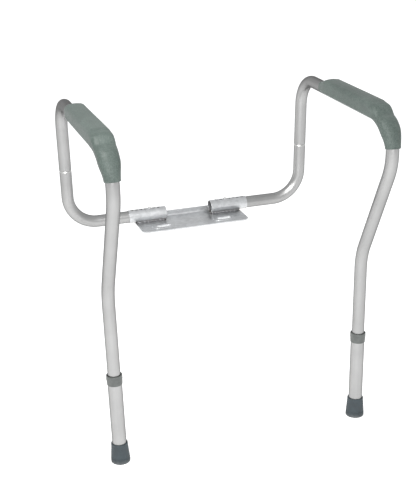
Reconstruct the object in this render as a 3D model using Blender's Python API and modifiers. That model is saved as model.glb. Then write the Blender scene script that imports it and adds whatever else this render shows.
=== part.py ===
"""Toilet safety frame: two armrest frames on a bracket that the toilet seat's own bolts hold down.

Metres, +Z up, +X to the right as seen from the front, -Y towards the front. The origin is on the
underside of the bracket, midway between the two seat bolts. Each side is a rear tube, which slides
in the bracket to set the width, an arm tube, which plugs onto it, and a leg extension, which slides
on the arm tube to set the height. A snap button and its spring lock each of the three.
"""
import math

import bmesh
import bpy
from mathutils import Matrix, Vector

MM = 0.001
GAP = 0.3 * MM  # clearance between pieces that touch

# Tubes
TUBE_RADIUS = 12.7 * MM  # rear tubes and arm tubes, 1 in
TUBE_WALL = 1.4 * MM
LEG_RADIUS = 14.3 * MM  # leg extensions and bracket sockets, 1 1/8 in
LEG_WALL = 1.3 * MM
SPIGOT_RADIUS = 10.9 * MM  # swaged upper end of a rear tube
SPIGOT_LENGTH = 60 * MM
SWAGE_LENGTH = 1.5 * MM  # ends at the joint
TUBE_SIDES = 16
BEND_STEP = math.radians(10)  # one facet of a bend
ROUND_STEP = math.radians(30)  # one facet of a rounded edge

# Bracket, pressed from sheet, with a tube socket at each end
PLATE_THICKNESS = 3 * MM
PLATE_HALF_LENGTH = 122 * MM
PLATE_FRONT = -24 * MM
PLATE_CORNER = 14 * MM
LIP_HEIGHT = 15 * MM
LIP_CORNER = 6 * MM
LIP_BEND = 4 * MM
BOLT_OFFSET = 70 * MM  # seat bolts are 140 mm apart
SLOT_HALF_LENGTH = 16 * MM
SLOT_RADIUS = 5.5 * MM
LAND_HALF_LENGTH = 25 * MM  # raised face under each seat bolt's washer
LAND_RADIUS = 13 * MM
LAND_RISE = 1 * MM
SOCKET_OUTER = 137 * MM
SOCKET_INNER = 52 * MM

# Side frames: reach is measured forwards from the rear tube's axis, height from the floor
REAR_Y = 45 * MM
BRACKET_HEIGHT = 371.6 * MM  # underside of the bracket above the floor: the bowl's rim
AXIS_Z = PLATE_THICKNESS + GAP + LEG_RADIUS
SIDE_OFFSET = 267 * MM  # middle of the frame to a rear tube, at socket height
LEAN = math.tan(math.radians(1.03))  # the sides lean apart towards the armrests
REAR_JOINT_HEIGHT = 512 * MM
ARM_HEIGHT = 666 * MM
FRONT_REACH = 426.7 * MM
BROW_HEIGHT = 578.5 * MM  # where the front leg starts to run back
KNEE_REACH = 325.8 * MM
KNEE_HEIGHT = 363.6 * MM
FOOT_REACH = 336.7 * MM
REAR_BEND = 63.5 * MM
ELBOW_BEND = 60 * MM
BROW_BEND = 105 * MM
KNEE_BEND = 115 * MM

# Snap buttons: distances from the axis of the tube that each one sits in
BUTTON_RADIUS = 3.2 * MM
BUTTON_PROUD = 2.7 * MM
BUTTON_FLANGE_RADIUS = 4.6 * MM
BUTTON_FLANGE = 1.2 * MM
BUTTON_DOME = 1.2 * MM
TUBE_FLANGE_LEVEL = 9.8 * MM
SPIGOT_FLANGE_LEVEL = 7.8 * MM
HOLE_RADIUS = BUTTON_RADIUS + GAP
REAR_BUTTON_RISE = 14 * MM  # above the arm tube's lower end
SPRING_WIDTH = 7 * MM
SPRING_THICKNESS = 0.6 * MM

# Width setting: holes in the sockets
WIDTH_STEP = 10 * MM
WIDTH_STEPS_IN = 2
WIDTH_STEPS_OUT = 4
WIDTH_BUTTON_X = 88 * MM
REAR_TUBE_INNER = 68 * MM

# Height setting: holes in the leg extensions, heights along the leg with the foot on the floor
HEIGHT_STEP = 20 * MM
HEIGHT_STEPS_UP = 2
HEIGHT_STEPS_DOWN = 4
HEIGHT_BUTTON = 87 * MM
ARM_TUBE_END = 54.5 * MM
EXTENSION_TOP = 188.2 * MM
EXTENSION_BOTTOM = 9.3 * MM

# Leg collars and rubber tips
COLLAR_RADIUS = 16.1 * MM
COLLAR_TOP = 192.2 * MM
COLLAR_BOTTOM = 171.5 * MM
COLLAR_EDGE = 3 * MM
TIP_HEIGHT = 41.5 * MM
TIP_TOP_RADIUS = 16.7 * MM
TIP_SOLE_RADIUS = 19.4 * MM
TIP_EDGE = 2 * MM
TIP_FLOOR = 7.5 * MM
WASHER_RADIUS = 13.6 * MM
WASHER_THICKNESS = 1.2 * MM
SOLE_TRIM = 2 * MM  # the tip is made this much too long and cut level with the floor
TURN_STEPS = 24

# Armrest pads: distance along the arm tube's axis from the rear tube, then the section's half
# width, its height above the tube's axis, and how far its sides reach below that axis, all in mm
PAD_SECTIONS = (
    (119, 15.2, 15.2, 2),  # rear end, a thin rim on the tube
    (160, 20.6, 27.2, 1.5),  # full height
    (348, 21.4, 27.8, 1),
    (366, 21.8, 25.2, 1.5),  # start of the front bend
    (389, 20.8, 15.4, 3),  # hollow over the bend
    (413, 20.2, 16.4, 3),  # knuckle below it
    (450.5, 14.9, 14.8, 2),  # front end
)
PAD_RING_REACHES = (119, 125, 131, 138, 145, 152, 160, 220, 285, 348)
PAD_END_TURN = 80  # degrees of the front bend that the pad covers
PAD_RING_TURN = 10
PAD_SHOULDER = 10 * MM
PAD_CROWN = 1.2 * MM
PAD_CHANNEL_RADIUS = TUBE_RADIUS + GAP
PAD_LIP_ANGLE = math.radians(35)  # the channel's open side starts this far below the tube's middle
PAD_LIP = 1 * MM
PAD_CHANNEL_STEPS = 12

SIDES = (("left", -1), ("right", 1))


def collection(name):
    new = bpy.data.collections.new(name)
    bpy.context.scene.collection.children.link(new)
    return new


for stale in list(bpy.data.objects):
    bpy.data.objects.remove(stale, do_unlink=True)
MODEL = collection("toilet_safety_frame")
CUTTERS = collection("cutters")


def material(name, colour, roughness, metallic):
    new = bpy.data.materials.new(name)
    new.use_nodes = True
    shader = new.node_tree.nodes["Principled BSDF"]
    shader.inputs["Base Color"].default_value = (*colour, 1)
    shader.inputs["Roughness"].default_value = roughness
    shader.inputs["Metallic"].default_value = metallic
    return new


ALUMINIUM = material("satin_aluminium", (0.60, 0.60, 0.61), 0.34, 1)
STEEL = material("zinc_plated_steel", (0.52, 0.53, 0.55), 0.38, 1)
SPRING_STEEL = material("spring_steel", (0.33, 0.34, 0.36), 0.35, 1)
BUTTON_STEEL = material("button_steel", (0.62, 0.63, 0.65), 0.22, 1)
PAD_FOAM = material("grey_green_foam", (0.235, 0.300, 0.265), 0.62, 0)
COLLAR_PLASTIC = material("grey_plastic", (0.165, 0.185, 0.170), 0.45, 0)
TIP_RUBBER = material("slate_rubber", (0.085, 0.105, 0.125), 0.70, 0)


def place_in_model(new, finish):
    """Puts a finished mesh object in the model with its material and smooth shading."""
    MODEL.objects.link(new)
    new.data.materials.clear()
    new.data.materials.append(finish)
    new.data.shade_smooth()
    new.data.set_sharp_from_angle(angle=math.radians(35))
    return new


def rounded_path(corners, radii, facet=BEND_STEP):
    """Points along straight runs joined by arcs; radii are those of the inner corners."""
    points = [corners[0]]
    for before, corner, after, radius in zip(corners, corners[1:], corners[2:], radii):
        into = (corner - before).normalized()
        out = (after - corner).normalized()
        turn = into.angle(out)
        inward = (out - into * into.dot(out)).normalized()
        centre = corner - into * radius * math.tan(turn / 2) + inward * radius
        steps = max(2, math.ceil(turn / facet - 0.01))
        for step in range(steps + 1):
            angle = turn * step / steps
            points.append(centre + radius * (into * math.sin(angle) - inward * math.cos(angle)))
    points.append(corners[-1])
    return points


def mesh_from(source, name):
    """A mesh object with the evaluated shape of another object, which is then removed."""
    bpy.context.view_layer.update()
    evaluated = source.evaluated_get(bpy.context.evaluated_depsgraph_get())
    mesh = bpy.data.meshes.new_from_object(evaluated)
    mesh.name = name
    shape = bmesh.new()
    shape.from_mesh(mesh)
    bmesh.ops.remove_doubles(shape, verts=shape.verts, dist=1e-6)
    shape.to_mesh(mesh)
    shape.free()
    place = source.matrix_world.copy()
    bpy.data.objects.remove(source, do_unlink=True)
    new = bpy.data.objects.new(name, mesh)
    new.matrix_world = place
    return new


def tube(name, points, radius, wall, finish, radii=None):
    """A hollow tube with open ends along the points; radii can set its radius at each point."""
    curve = bpy.data.curves.new(name + "_path", "CURVE")
    curve.dimensions = "3D"
    curve.bevel_depth = radius
    curve.bevel_resolution = (TUBE_SIDES - 4) // 2
    spline = curve.splines.new("POLY")
    spline.points.add(len(points) - 1)
    for knot, point, size in zip(spline.points, points, radii or [radius] * len(points)):
        knot.co = (*point, 1)
        knot.radius = size / radius
    path = bpy.data.objects.new(name + "_path", curve)
    MODEL.objects.link(path)
    thickness = path.modifiers.new("wall", "SOLIDIFY")
    thickness.thickness = wall
    thickness.offset = -1
    return place_in_model(mesh_from(path, name), finish)


def axis_matrix(origin, direction, side=Vector((1, 0, 0))):
    """Local Z along the direction, local X as near to the side vector as it can be."""
    up = direction.normalized()
    across = (side - up * up.dot(side)).normalized()
    forward = up.cross(across)
    turn = Matrix((across, forward, up)).transposed().to_4x4()
    return Matrix.Translation(origin) @ turn


def turned(name, profile, place, finish, steps=TURN_STEPS):
    """A profile of (radius, height) points turned about the place's Z; it runs down the outside."""
    mesh = bpy.data.meshes.new(name)
    shape = bmesh.new()
    knots = [shape.verts.new((radius, 0, height)) for radius, height in profile]
    for first, second in zip(knots, knots[1:]):
        shape.edges.new((first, second))
    if profile[0][0] > 0:
        shape.edges.new((knots[-1], knots[0]))
    shape.to_mesh(mesh)
    shape.free()
    new = bpy.data.objects.new(name, mesh)
    new.matrix_world = place
    screw = new.modifiers.new("turn", "SCREW")
    screw.steps = steps
    screw.render_steps = steps
    screw.use_merge_vertices = True
    screw.merge_threshold = 1e-5
    return place_in_model(new, finish)


def rounded_profile(corners, radii):
    """A (radius, height) profile whose inner corners are rounded; 0 keeps a corner sharp."""
    spread = [Vector((radius, 0, height)) for radius, height in corners]
    points = [spread[0]]
    for before, corner, after, radius in zip(spread, spread[1:], spread[2:], radii):
        arc = rounded_path([before, corner, after], [radius], ROUND_STEP)[1:-1]
        points += arc if radius else [corner]
    points.append(spread[-1])
    return [(point.x, point.z) for point in points]


def prism(name, points, half_depth, place):
    """A closed outline in the place's XY plane, extruded both ways along its Z."""
    mesh = bpy.data.meshes.new(name)
    shape = bmesh.new()
    ends = []
    for depth in (-half_depth, half_depth):
        ends.append([shape.verts.new(place @ Vector((x, y, depth))) for x, y in points])
    for index in range(len(points)):
        after = (index + 1) % len(points)
        shape.faces.new((ends[0][index], ends[0][after], ends[1][after], ends[1][index]))
    shape.faces.new(ends[0][::-1])
    shape.faces.new(ends[1])
    bmesh.ops.recalc_face_normals(shape, faces=shape.faces)
    shape.to_mesh(mesh)
    shape.free()
    return bpy.data.objects.new(name, mesh)


def as_cutter(new):
    CUTTERS.objects.link(new)
    new.hide_render = True
    new.display_type = "WIRE"
    return new


def combine(target, tool, operation):
    modifier = target.modifiers.new(tool.name, "BOOLEAN")
    modifier.operation = operation
    modifier.object = tool
    modifier.solver = "EXACT"


def drill(target, name, centres, direction, radius, depth):
    """Cuts a round hole at each centre, from the centre outwards along the direction."""
    mesh = bpy.data.meshes.new(name)
    shape = bmesh.new()
    for centre in centres:
        place = axis_matrix(centre + direction * depth / 2, direction)
        bmesh.ops.create_cone(
            shape,
            cap_ends=True,
            segments=12,
            radius1=radius,
            radius2=radius,
            depth=depth,
            matrix=place,
        )
    shape.to_mesh(mesh)
    shape.free()
    combine(target, as_cutter(bpy.data.objects.new(name, mesh)), "DIFFERENCE")


def joint_empty(name, location):
    """An empty on a joint's axis, which carries the pieces that move together."""
    empty = bpy.data.objects.new(name, None)
    empty.empty_display_size = 0.03
    empty.location = location
    MODEL.objects.link(empty)
    return empty


def carry(empty, pieces):
    bpy.context.view_layer.update()
    for piece in pieces:
        piece.parent = empty
        piece.matrix_parent_inverse = empty.matrix_world.inverted()


def side_point(side, reach, height):
    """A point in the plane of a side frame, from its reach and its height above the floor."""
    across = SIDE_OFFSET + LEAN * (height - BRACKET_HEIGHT - AXIS_Z)
    return Vector((side * across, REAR_Y - reach, height - BRACKET_HEIGHT))


def rear_axis(side):
    return Vector((side * LEAN, 0, 1)).normalized()


def leg_axis(side):
    """The straight lower leg's direction, upwards."""
    return (side_point(side, KNEE_REACH, KNEE_HEIGHT) - side_point(side, FOOT_REACH, 0)).normalized()


def leg_point(side, distance):
    return side_point(side, FOOT_REACH, 0) + leg_axis(side) * distance


def bracket_plate():
    """The sheet plate: a lip along its back, and a slotted raised land for each seat bolt."""
    back = REAR_Y + LEG_RADIUS + GAP + PLATE_THICKNESS
    under = [Vector((PLATE_FRONT, 0, 0)), Vector((back, 0, 0)), Vector((back, LIP_HEIGHT, 0))]
    inset = PLATE_THICKNESS
    upper = [
        Vector((PLATE_FRONT, inset, 0)),
        Vector((back - inset, inset, 0)),
        Vector((back - inset, LIP_HEIGHT, 0)),
    ]
    section = rounded_path(under, [LIP_BEND + inset], ROUND_STEP)
    section += rounded_path(upper, [LIP_BEND], ROUND_STEP)[::-1]
    across = Matrix(((0, 0, 1), (1, 0, 0), (0, 1, 0))).to_4x4()
    profile = [(point.x, point.y) for point in section]
    plate = prism("mounting_plate", profile, PLATE_HALF_LENGTH, across)
    shape = bmesh.new()
    shape.from_mesh(plate.data)
    front_edges = []
    lip_edges = []
    for edge in shape.edges:
        first, second = (vert.co for vert in edge.verts)
        at_end = abs(first.x + second.x) > 2 * (PLATE_HALF_LENGTH - GAP)
        if at_end and max(first.y, second.y) < PLATE_FRONT + GAP:
            front_edges.append(edge)
        if at_end and min(first.z, second.z) > LIP_HEIGHT - GAP:
            lip_edges.append(edge)
    for edges, radius in ((front_edges, PLATE_CORNER), (lip_edges, LIP_CORNER)):
        bmesh.ops.bevel(
            shape, geom=edges, offset=radius, segments=5, profile=0.5, affect="EDGES"
        )
    shape.to_mesh(plate.data)
    shape.free()
    place_in_model(plate, STEEL)
    for name, side in SIDES:
        middle = Vector((side * BOLT_OFFSET, 0, 0))
        top = PLATE_THICKNESS + LAND_RISE
        combine(plate, slot_shape("land_" + name, middle, LAND_HALF_LENGTH, LAND_RADIUS, top), "UNION")
    for name, side in SIDES:
        middle = Vector((side * BOLT_OFFSET, 0, -PLATE_THICKNESS))
        depth = 3 * PLATE_THICKNESS
        cutter = slot_shape("slot_" + name, middle, SLOT_HALF_LENGTH, SLOT_RADIUS, depth)
        combine(plate, cutter, "DIFFERENCE")
    return plate


def slot_shape(name, base, half_length, radius, depth):
    """A round-ended bar along X that stands on the base point, sunk a little if it is a land."""
    straight = half_length - radius
    points = []
    for centre, start in ((straight, -90), (-straight, 90)):
        for step in range(9):
            angle = math.radians(start + 22.5 * step)
            points.append((centre + radius * math.cos(angle), radius * math.sin(angle)))
    sunk = PLATE_THICKNESS / 2 if base.z == 0 else 0
    middle = base + Vector((0, 0, (sunk + depth) / 2))
    return as_cutter(prism(name, points, (depth - sunk) / 2, Matrix.Translation(middle)))


def snap_button(name, centre, outward, flange_level, proud_level):
    """A domed, flanged button; levels are measured from the tube's axis, along outward."""
    foot = flange_level - BUTTON_FLANGE
    corners = [
        (0, proud_level),
        (BUTTON_RADIUS, proud_level),
        (BUTTON_RADIUS, flange_level),
        (BUTTON_FLANGE_RADIUS, flange_level),
        (BUTTON_FLANGE_RADIUS, foot),
        (0, foot),
    ]
    profile = rounded_profile(corners, [BUTTON_DOME * 1.6, 0, 0, 0])
    return turned(name, profile, axis_matrix(centre, outward), BUTTON_STEEL, steps=14)


def snap_spring(name, centre, outward, along, flange_level, bore):
    """A bent leaf: one leg presses the button's flange, the other lies on the far wall of the bore."""
    half = SPRING_THICKNESS / 2
    upper = flange_level - BUTTON_FLANGE - GAP - half
    lower = half + GAP - math.sqrt((bore * math.cos(math.pi / TUBE_SIDES)) ** 2 - SPRING_WIDTH**2 / 4)
    across = along.cross(outward)
    corners = [
        Vector((7 * MM, upper, 0)),
        Vector((-4 * MM, upper, 0)),
        Vector((-26 * MM, -1 * MM, 0)),
        Vector((-21 * MM, lower, 0)),
        Vector((5 * MM, lower, 0)),
    ]
    path = rounded_path(corners, [8 * MM, 3 * MM, 3 * MM], ROUND_STEP)
    mesh = bpy.data.meshes.new(name)
    shape = bmesh.new()
    rows = []
    for point in path:
        middle = centre + along * point.x + outward * point.y
        offset = across * SPRING_WIDTH / 2
        rows.append((shape.verts.new(middle - offset), shape.verts.new(middle + offset)))
    for first, second in zip(rows, rows[1:]):
        shape.faces.new((first[0], first[1], second[1], second[0]))
    shape.to_mesh(mesh)
    shape.free()
    new = bpy.data.objects.new(name, mesh)
    leaf = new.modifiers.new("leaf", "SOLIDIFY")
    leaf.thickness = SPRING_THICKNESS
    leaf.offset = 0
    return place_in_model(new, SPRING_STEEL)


def socket(name, side):
    """A bracket socket, with the row of holes that sets the width."""
    ends = [Vector((side * x, REAR_Y, AXIS_Z)) for x in (SOCKET_INNER, SOCKET_OUTER)]
    piece = tube("socket_" + name, ends, LEG_RADIUS, LEG_WALL, STEEL)
    steps = range(-WIDTH_STEPS_IN, WIDTH_STEPS_OUT + 1)
    holes = [
        Vector((side * (WIDTH_BUTTON_X + WIDTH_STEP * step), REAR_Y, AXIS_Z)) for step in steps
    ]
    drill(piece, "width_holes_" + name, holes, Vector((0, 0, 1)), HOLE_RADIUS, 2 * LEG_RADIUS)
    return piece


def rear_tube(name, side):
    """From the socket out and up to the swaged spigot that the arm tube plugs onto."""
    joint = side_point(side, 0, REAR_JOINT_HEIGHT)
    up = rear_axis(side)
    corners = [
        Vector((side * REAR_TUBE_INNER, REAR_Y, AXIS_Z)),
        Vector((side * SIDE_OFFSET, REAR_Y, AXIS_Z)),
        joint,
    ]
    points = rounded_path(corners, [REAR_BEND])
    radii = [TUBE_RADIUS] * len(points)
    points[-1] = joint - up * SWAGE_LENGTH
    points += [joint, joint + up * SPIGOT_LENGTH]
    radii += [SPIGOT_RADIUS] * 2
    piece = tube("rear_tube_" + name, points, TUBE_RADIUS, TUBE_WALL, ALUMINIUM, radii)
    width_hole = [Vector((side * WIDTH_BUTTON_X, REAR_Y, AXIS_Z))]
    drill(piece, "width_hole_" + name, width_hole, Vector((0, 0, 1)), HOLE_RADIUS, 2 * TUBE_RADIUS)
    button_hole = [joint + up * REAR_BUTTON_RISE]
    backwards = Vector((0, 1, 0))
    drill(piece, "spigot_hole_" + name, button_hole, backwards, HOLE_RADIUS, 2 * TUBE_RADIUS)
    return piece


def arm_tube(name, side):
    """From the rear joint up, forwards along the armrest and down the front leg."""
    corners = [
        side_point(side, 0, REAR_JOINT_HEIGHT + GAP),
        side_point(side, 0, ARM_HEIGHT),
        side_point(side, FRONT_REACH, ARM_HEIGHT),
        side_point(side, FRONT_REACH, BROW_HEIGHT),
        side_point(side, KNEE_REACH, KNEE_HEIGHT),
        leg_point(side, ARM_TUBE_END),
    ]
    points = rounded_path(corners, [REAR_BEND, ELBOW_BEND, BROW_BEND, KNEE_BEND])
    piece = tube("arm_tube_" + name, points, TUBE_RADIUS, TUBE_WALL, ALUMINIUM)
    backwards = Vector((0, 1, 0))
    joint_hole = [side_point(side, 0, REAR_JOINT_HEIGHT) + rear_axis(side) * REAR_BUTTON_RISE]
    drill(piece, "joint_hole_" + name, joint_hole, backwards, HOLE_RADIUS, 2 * TUBE_RADIUS)
    height_hole = [leg_point(side, HEIGHT_BUTTON)]
    drill(piece, "height_hole_" + name, height_hole, leg_back(side), HOLE_RADIUS, 2 * TUBE_RADIUS)
    return piece


def leg_back(side):
    """Square to the lower leg, towards the back: the way the height buttons face."""
    axis = leg_axis(side)
    backwards = Vector((0, 1, 0))
    return (backwards - axis * axis.dot(backwards)).normalized()


def leg_extension(name, side):
    """The outer tube of the leg, with the row of holes that sets the height."""
    ends = [leg_point(side, EXTENSION_BOTTOM), leg_point(side, EXTENSION_TOP)]
    piece = tube("leg_extension_" + name, ends, LEG_RADIUS, LEG_WALL, ALUMINIUM)
    steps = range(-HEIGHT_STEPS_UP, HEIGHT_STEPS_DOWN + 1)
    holes = [leg_point(side, HEIGHT_BUTTON + HEIGHT_STEP * step) for step in steps]
    drill(piece, "height_holes_" + name, holes, leg_back(side), HOLE_RADIUS, 2 * LEG_RADIUS)
    return piece


def leg_collar(name, side):
    """The moulded ring that caps the extension and guides the arm tube."""
    snug = LEG_RADIUS + GAP
    guide = TUBE_RADIUS + GAP
    step = EXTENSION_TOP + GAP
    corners = [
        (guide, step),
        (guide, COLLAR_TOP),
        (COLLAR_RADIUS, COLLAR_TOP),
        (COLLAR_RADIUS, COLLAR_BOTTOM),
        (snug, COLLAR_BOTTOM),
        (snug, step),
    ]
    profile = rounded_profile(corners, [0, COLLAR_EDGE * 0.9, COLLAR_EDGE / 3, 0])
    place = axis_matrix(side_point(side, FOOT_REACH, 0), leg_axis(side))
    return turned("leg_collar_" + name, profile, place, COLLAR_PLASTIC)


def foot_tip(name, side):
    """The rubber tip: a flared cup on the leg's axis, its sole cut level with the floor."""
    cavity = LEG_RADIUS + GAP
    corners = [
        (0, TIP_FLOOR),
        (cavity, TIP_FLOOR),
        (cavity, TIP_HEIGHT),
        (TIP_TOP_RADIUS, TIP_HEIGHT),
        (TIP_SOLE_RADIUS, TIP_EDGE),
        (TIP_SOLE_RADIUS, -SOLE_TRIM),
        (0, -SOLE_TRIM),
    ]
    profile = rounded_profile(corners, [0, 0, TIP_EDGE * 0.8, TIP_EDGE, 0])
    place = axis_matrix(side_point(side, FOOT_REACH, 0), leg_axis(side))
    piece = turned("foot_tip_" + name, profile, place, TIP_RUBBER)
    mesh = bpy.data.meshes.new("floor_trim_" + name)
    shape = bmesh.new()
    size = 4 * TIP_SOLE_RADIUS
    below = side_point(side, FOOT_REACH, 0) - Vector((0, 0, size / 2))
    bmesh.ops.create_cube(shape, size=size, matrix=Matrix.Translation(below))
    shape.to_mesh(mesh)
    shape.free()
    trim = as_cutter(bpy.data.objects.new("floor_trim_" + name, mesh))
    combine(piece, trim, "DIFFERENCE")
    return piece


def tip_washer(name, side):
    """The steel disc in the tip that the extension stands on."""
    bottom = TIP_FLOOR + GAP
    top = bottom + WASHER_THICKNESS
    profile = [(0, top), (WASHER_RADIUS, top), (WASHER_RADIUS, bottom), (0, bottom)]
    place = axis_matrix(side_point(side, FOOT_REACH, 0), leg_axis(side))
    return turned("tip_washer_" + name, profile, place, STEEL)


def pad_section(half_width, height, depth):
    """Half of the pad's section, from its lower lip up and over to the crown: (across, up)."""
    shoulder = min(PAD_SHOULDER, height * 0.45, half_width * 0.5)
    lip = PAD_CHANNEL_RADIUS + PAD_LIP
    lip_end = (lip * math.cos(PAD_LIP_ANGLE), -lip * math.sin(PAD_LIP_ANGLE))
    points = [lip_end, (half_width, -depth)]
    for step in range(4):
        angle = math.radians(30 * step)
        across = half_width - shoulder * (1 - math.cos(angle))
        up = height - PAD_CROWN - shoulder * (1 - math.sin(angle))
        points.append((across, up))
    points.append((0, height))
    return points


def pad_size(distance):
    """Half width, height and side depth of the pad at a distance along the arm tube's axis."""
    for before, after in zip(PAD_SECTIONS, PAD_SECTIONS[1:]):
        if distance <= after[0]:
            break
    share = min(max((distance - before[0]) / (after[0] - before[0]), 0), 1)
    eased = share * share * (3 - 2 * share)
    return [(low + (high - low) * eased) * MM for low, high in zip(before[1:], after[1:])]


def armrest_pad(name, side):
    """A soft cap on the arm tube and over its front bend, with an open channel underneath."""
    up = rear_axis(side)
    forward = Vector((0, -1, 0))
    across = up.cross(forward)
    channel = []
    for step in range(PAD_CHANNEL_STEPS + 1):
        angle = -PAD_LIP_ANGLE + (math.pi + 2 * PAD_LIP_ANGLE) * step / PAD_CHANNEL_STEPS
        channel.append((PAD_CHANNEL_RADIUS * math.cos(angle), PAD_CHANNEL_RADIUS * math.sin(angle)))
    mesh = bpy.data.meshes.new("armrest_pad_" + name)
    shape = bmesh.new()
    straight = FRONT_REACH - ELBOW_BEND
    stations = [(reach * MM, 0) for reach in PAD_RING_REACHES]
    turns = range(0, PAD_END_TURN + 1, PAD_RING_TURN)
    stations += [(straight, math.radians(turn)) for turn in turns]
    rings = []
    for reach, turn in stations:
        outwards = up * math.cos(turn) + forward * math.sin(turn)
        centre = side_point(side, reach, ARM_HEIGHT) + ELBOW_BEND * (outwards - up)
        half = pad_section(*pad_size((reach + ELBOW_BEND * turn) / MM))
        outer = half + [(-x, y) for x, y in half[-2::-1]]
        ring = outer + channel[::-1]
        rings.append([shape.verts.new(centre + across * x + outwards * y) for x, y in ring])
    for first, second in zip(rings, rings[1:]):
        for index, corner in enumerate(first):
            after = (index + 1) % len(first)
            shape.faces.new((corner, first[after], second[after], second[index]))
    shape.faces.new(rings[0])
    shape.faces.new(rings[-1][::-1])
    bmesh.ops.recalc_face_normals(shape, faces=shape.faces)
    shape.to_mesh(mesh)
    shape.free()
    return place_in_model(bpy.data.objects.new("armrest_pad_" + name, mesh), PAD_FOAM)


def side_frame(name, side):
    """All the pieces of one side, each set of them on the empty of the joint that moves it."""
    joint = side_point(side, 0, REAR_JOINT_HEIGHT)
    rear_button_place = joint + rear_axis(side) * REAR_BUTTON_RISE
    width_button_place = Vector((side * WIDTH_BUTTON_X, REAR_Y, AXIS_Z))
    height_button_place = leg_point(side, HEIGHT_BUTTON)
    upwards = Vector((0, 0, 1))
    backwards = Vector((0, 1, 0))
    bore = TUBE_RADIUS - TUBE_WALL
    socket_proud = LEG_RADIUS + BUTTON_PROUD

    width = joint_empty("width_joint_" + name, width_button_place)
    width_spring = snap_spring(
        "width_spring_" + name,
        width_button_place,
        upwards,
        Vector((-side, 0, 0)),
        TUBE_FLANGE_LEVEL,
        bore,
    )
    rear_spring = snap_spring(
        "rear_spring_" + name,
        rear_button_place,
        backwards,
        rear_axis(side),
        SPIGOT_FLANGE_LEVEL,
        SPIGOT_RADIUS - TUBE_WALL,
    )
    carry(width, [rear_tube(name, side), width_spring, rear_spring])

    lift = joint_empty("arm_joint_" + name, joint)
    height_spring = snap_spring(
        "height_spring_" + name,
        height_button_place,
        leg_back(side),
        -leg_axis(side),
        TUBE_FLANGE_LEVEL,
        bore,
    )
    carry(lift, [arm_tube(name, side), armrest_pad(name, side), height_spring])

    leg = joint_empty("height_joint_" + name, leg_point(side, EXTENSION_TOP))
    leg_pieces = [leg_extension, leg_collar, foot_tip, tip_washer]
    carry(leg, [make(name, side) for make in leg_pieces])

    buttons = (
        ("width_button_", width_button_place, upwards, TUBE_FLANGE_LEVEL, socket_proud, width),
        (
            "rear_button_",
            rear_button_place,
            backwards,
            SPIGOT_FLANGE_LEVEL,
            TUBE_RADIUS + BUTTON_PROUD,
            width,
        ),
        (
            "height_button_",
            height_button_place,
            leg_back(side),
            TUBE_FLANGE_LEVEL,
            socket_proud,
            lift,
        ),
    )
    for prefix, place, outward, flange_level, proud_level, parent in buttons:
        button = snap_button(prefix + name, place, outward, flange_level, proud_level)
        carry(parent, [button])
    carry(width, [lift])
    carry(lift, [leg])


bracket_plate()
for side_name, side_sign in SIDES:
    socket(side_name, side_sign)
    side_frame(side_name, side_sign)
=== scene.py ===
"""Toilet safety frame: the fine visual model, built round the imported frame.

Everything is in metres in the CAD's own axes: +Z up, +X to the right as seen from the front, -Y
towards the front, origin on the underside of the bracket midway between the seat bolts.
"""
import math

import bmesh
import bpy
import numpy as np
from mathutils import Matrix, Vector


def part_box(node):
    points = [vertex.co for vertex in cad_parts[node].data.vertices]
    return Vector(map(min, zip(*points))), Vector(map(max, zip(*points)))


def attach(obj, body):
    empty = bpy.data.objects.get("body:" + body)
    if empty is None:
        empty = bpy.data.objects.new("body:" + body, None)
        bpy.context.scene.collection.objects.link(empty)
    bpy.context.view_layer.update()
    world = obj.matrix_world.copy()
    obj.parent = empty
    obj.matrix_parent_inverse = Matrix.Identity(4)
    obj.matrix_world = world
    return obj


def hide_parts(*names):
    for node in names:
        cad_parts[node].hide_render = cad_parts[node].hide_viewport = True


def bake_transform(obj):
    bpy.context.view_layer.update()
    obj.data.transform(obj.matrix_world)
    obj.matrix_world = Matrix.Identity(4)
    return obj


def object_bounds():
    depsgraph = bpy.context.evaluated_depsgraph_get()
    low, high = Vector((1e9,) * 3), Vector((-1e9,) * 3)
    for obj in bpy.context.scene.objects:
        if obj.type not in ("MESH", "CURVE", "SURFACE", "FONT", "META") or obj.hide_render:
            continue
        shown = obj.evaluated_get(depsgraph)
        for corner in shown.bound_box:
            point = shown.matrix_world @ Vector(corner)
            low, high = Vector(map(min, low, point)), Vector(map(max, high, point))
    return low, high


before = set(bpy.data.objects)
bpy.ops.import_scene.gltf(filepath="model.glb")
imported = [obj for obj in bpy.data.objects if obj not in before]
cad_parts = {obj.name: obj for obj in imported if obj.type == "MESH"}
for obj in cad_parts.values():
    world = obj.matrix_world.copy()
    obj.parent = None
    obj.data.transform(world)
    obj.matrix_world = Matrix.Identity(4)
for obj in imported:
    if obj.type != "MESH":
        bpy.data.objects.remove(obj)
cad_low, cad_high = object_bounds()

MM = 0.001
UP = Vector((0, 0, 1))
BACK = Vector((0, 1, 0))
SIDES = (("left", -1), ("right", 1))

# ---------------------------------------------------------------- sizes, as in the CAD
TUBE_RADIUS = 12.7 * MM
TUBE_WALL = 1.4 * MM
LEG_RADIUS = 14.3 * MM
LEG_WALL = 1.3 * MM
SPIGOT_RADIUS = 10.9 * MM
SPIGOT_LENGTH = 60 * MM
SWAGE_LENGTH = 3.4 * MM
SWAGE_DEPTH = 1.5 * MM
SWAGE_RUNOUT = 1.5 * MM
FLOOR = cad_low.z
PLATE_THICKNESS = 3 * MM
AXIS_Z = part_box("socket_left")[0].z + LEG_RADIUS
REAR_Y = (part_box("socket_left")[0].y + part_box("socket_left")[1].y) / 2
SOCKET_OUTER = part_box("socket_right")[1].x
SOCKET_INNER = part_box("socket_right")[0].x
SIDE_OFFSET = 267 * MM
REAR_TUBE_START = 68 * MM
LEAN = math.tan(math.radians(1.03))
REAR_JOINT_HEIGHT = 512 * MM
ARM_HEIGHT = 666 * MM
FRONT_REACH = 426.7 * MM
BROW_HEIGHT = 578.5 * MM
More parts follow.
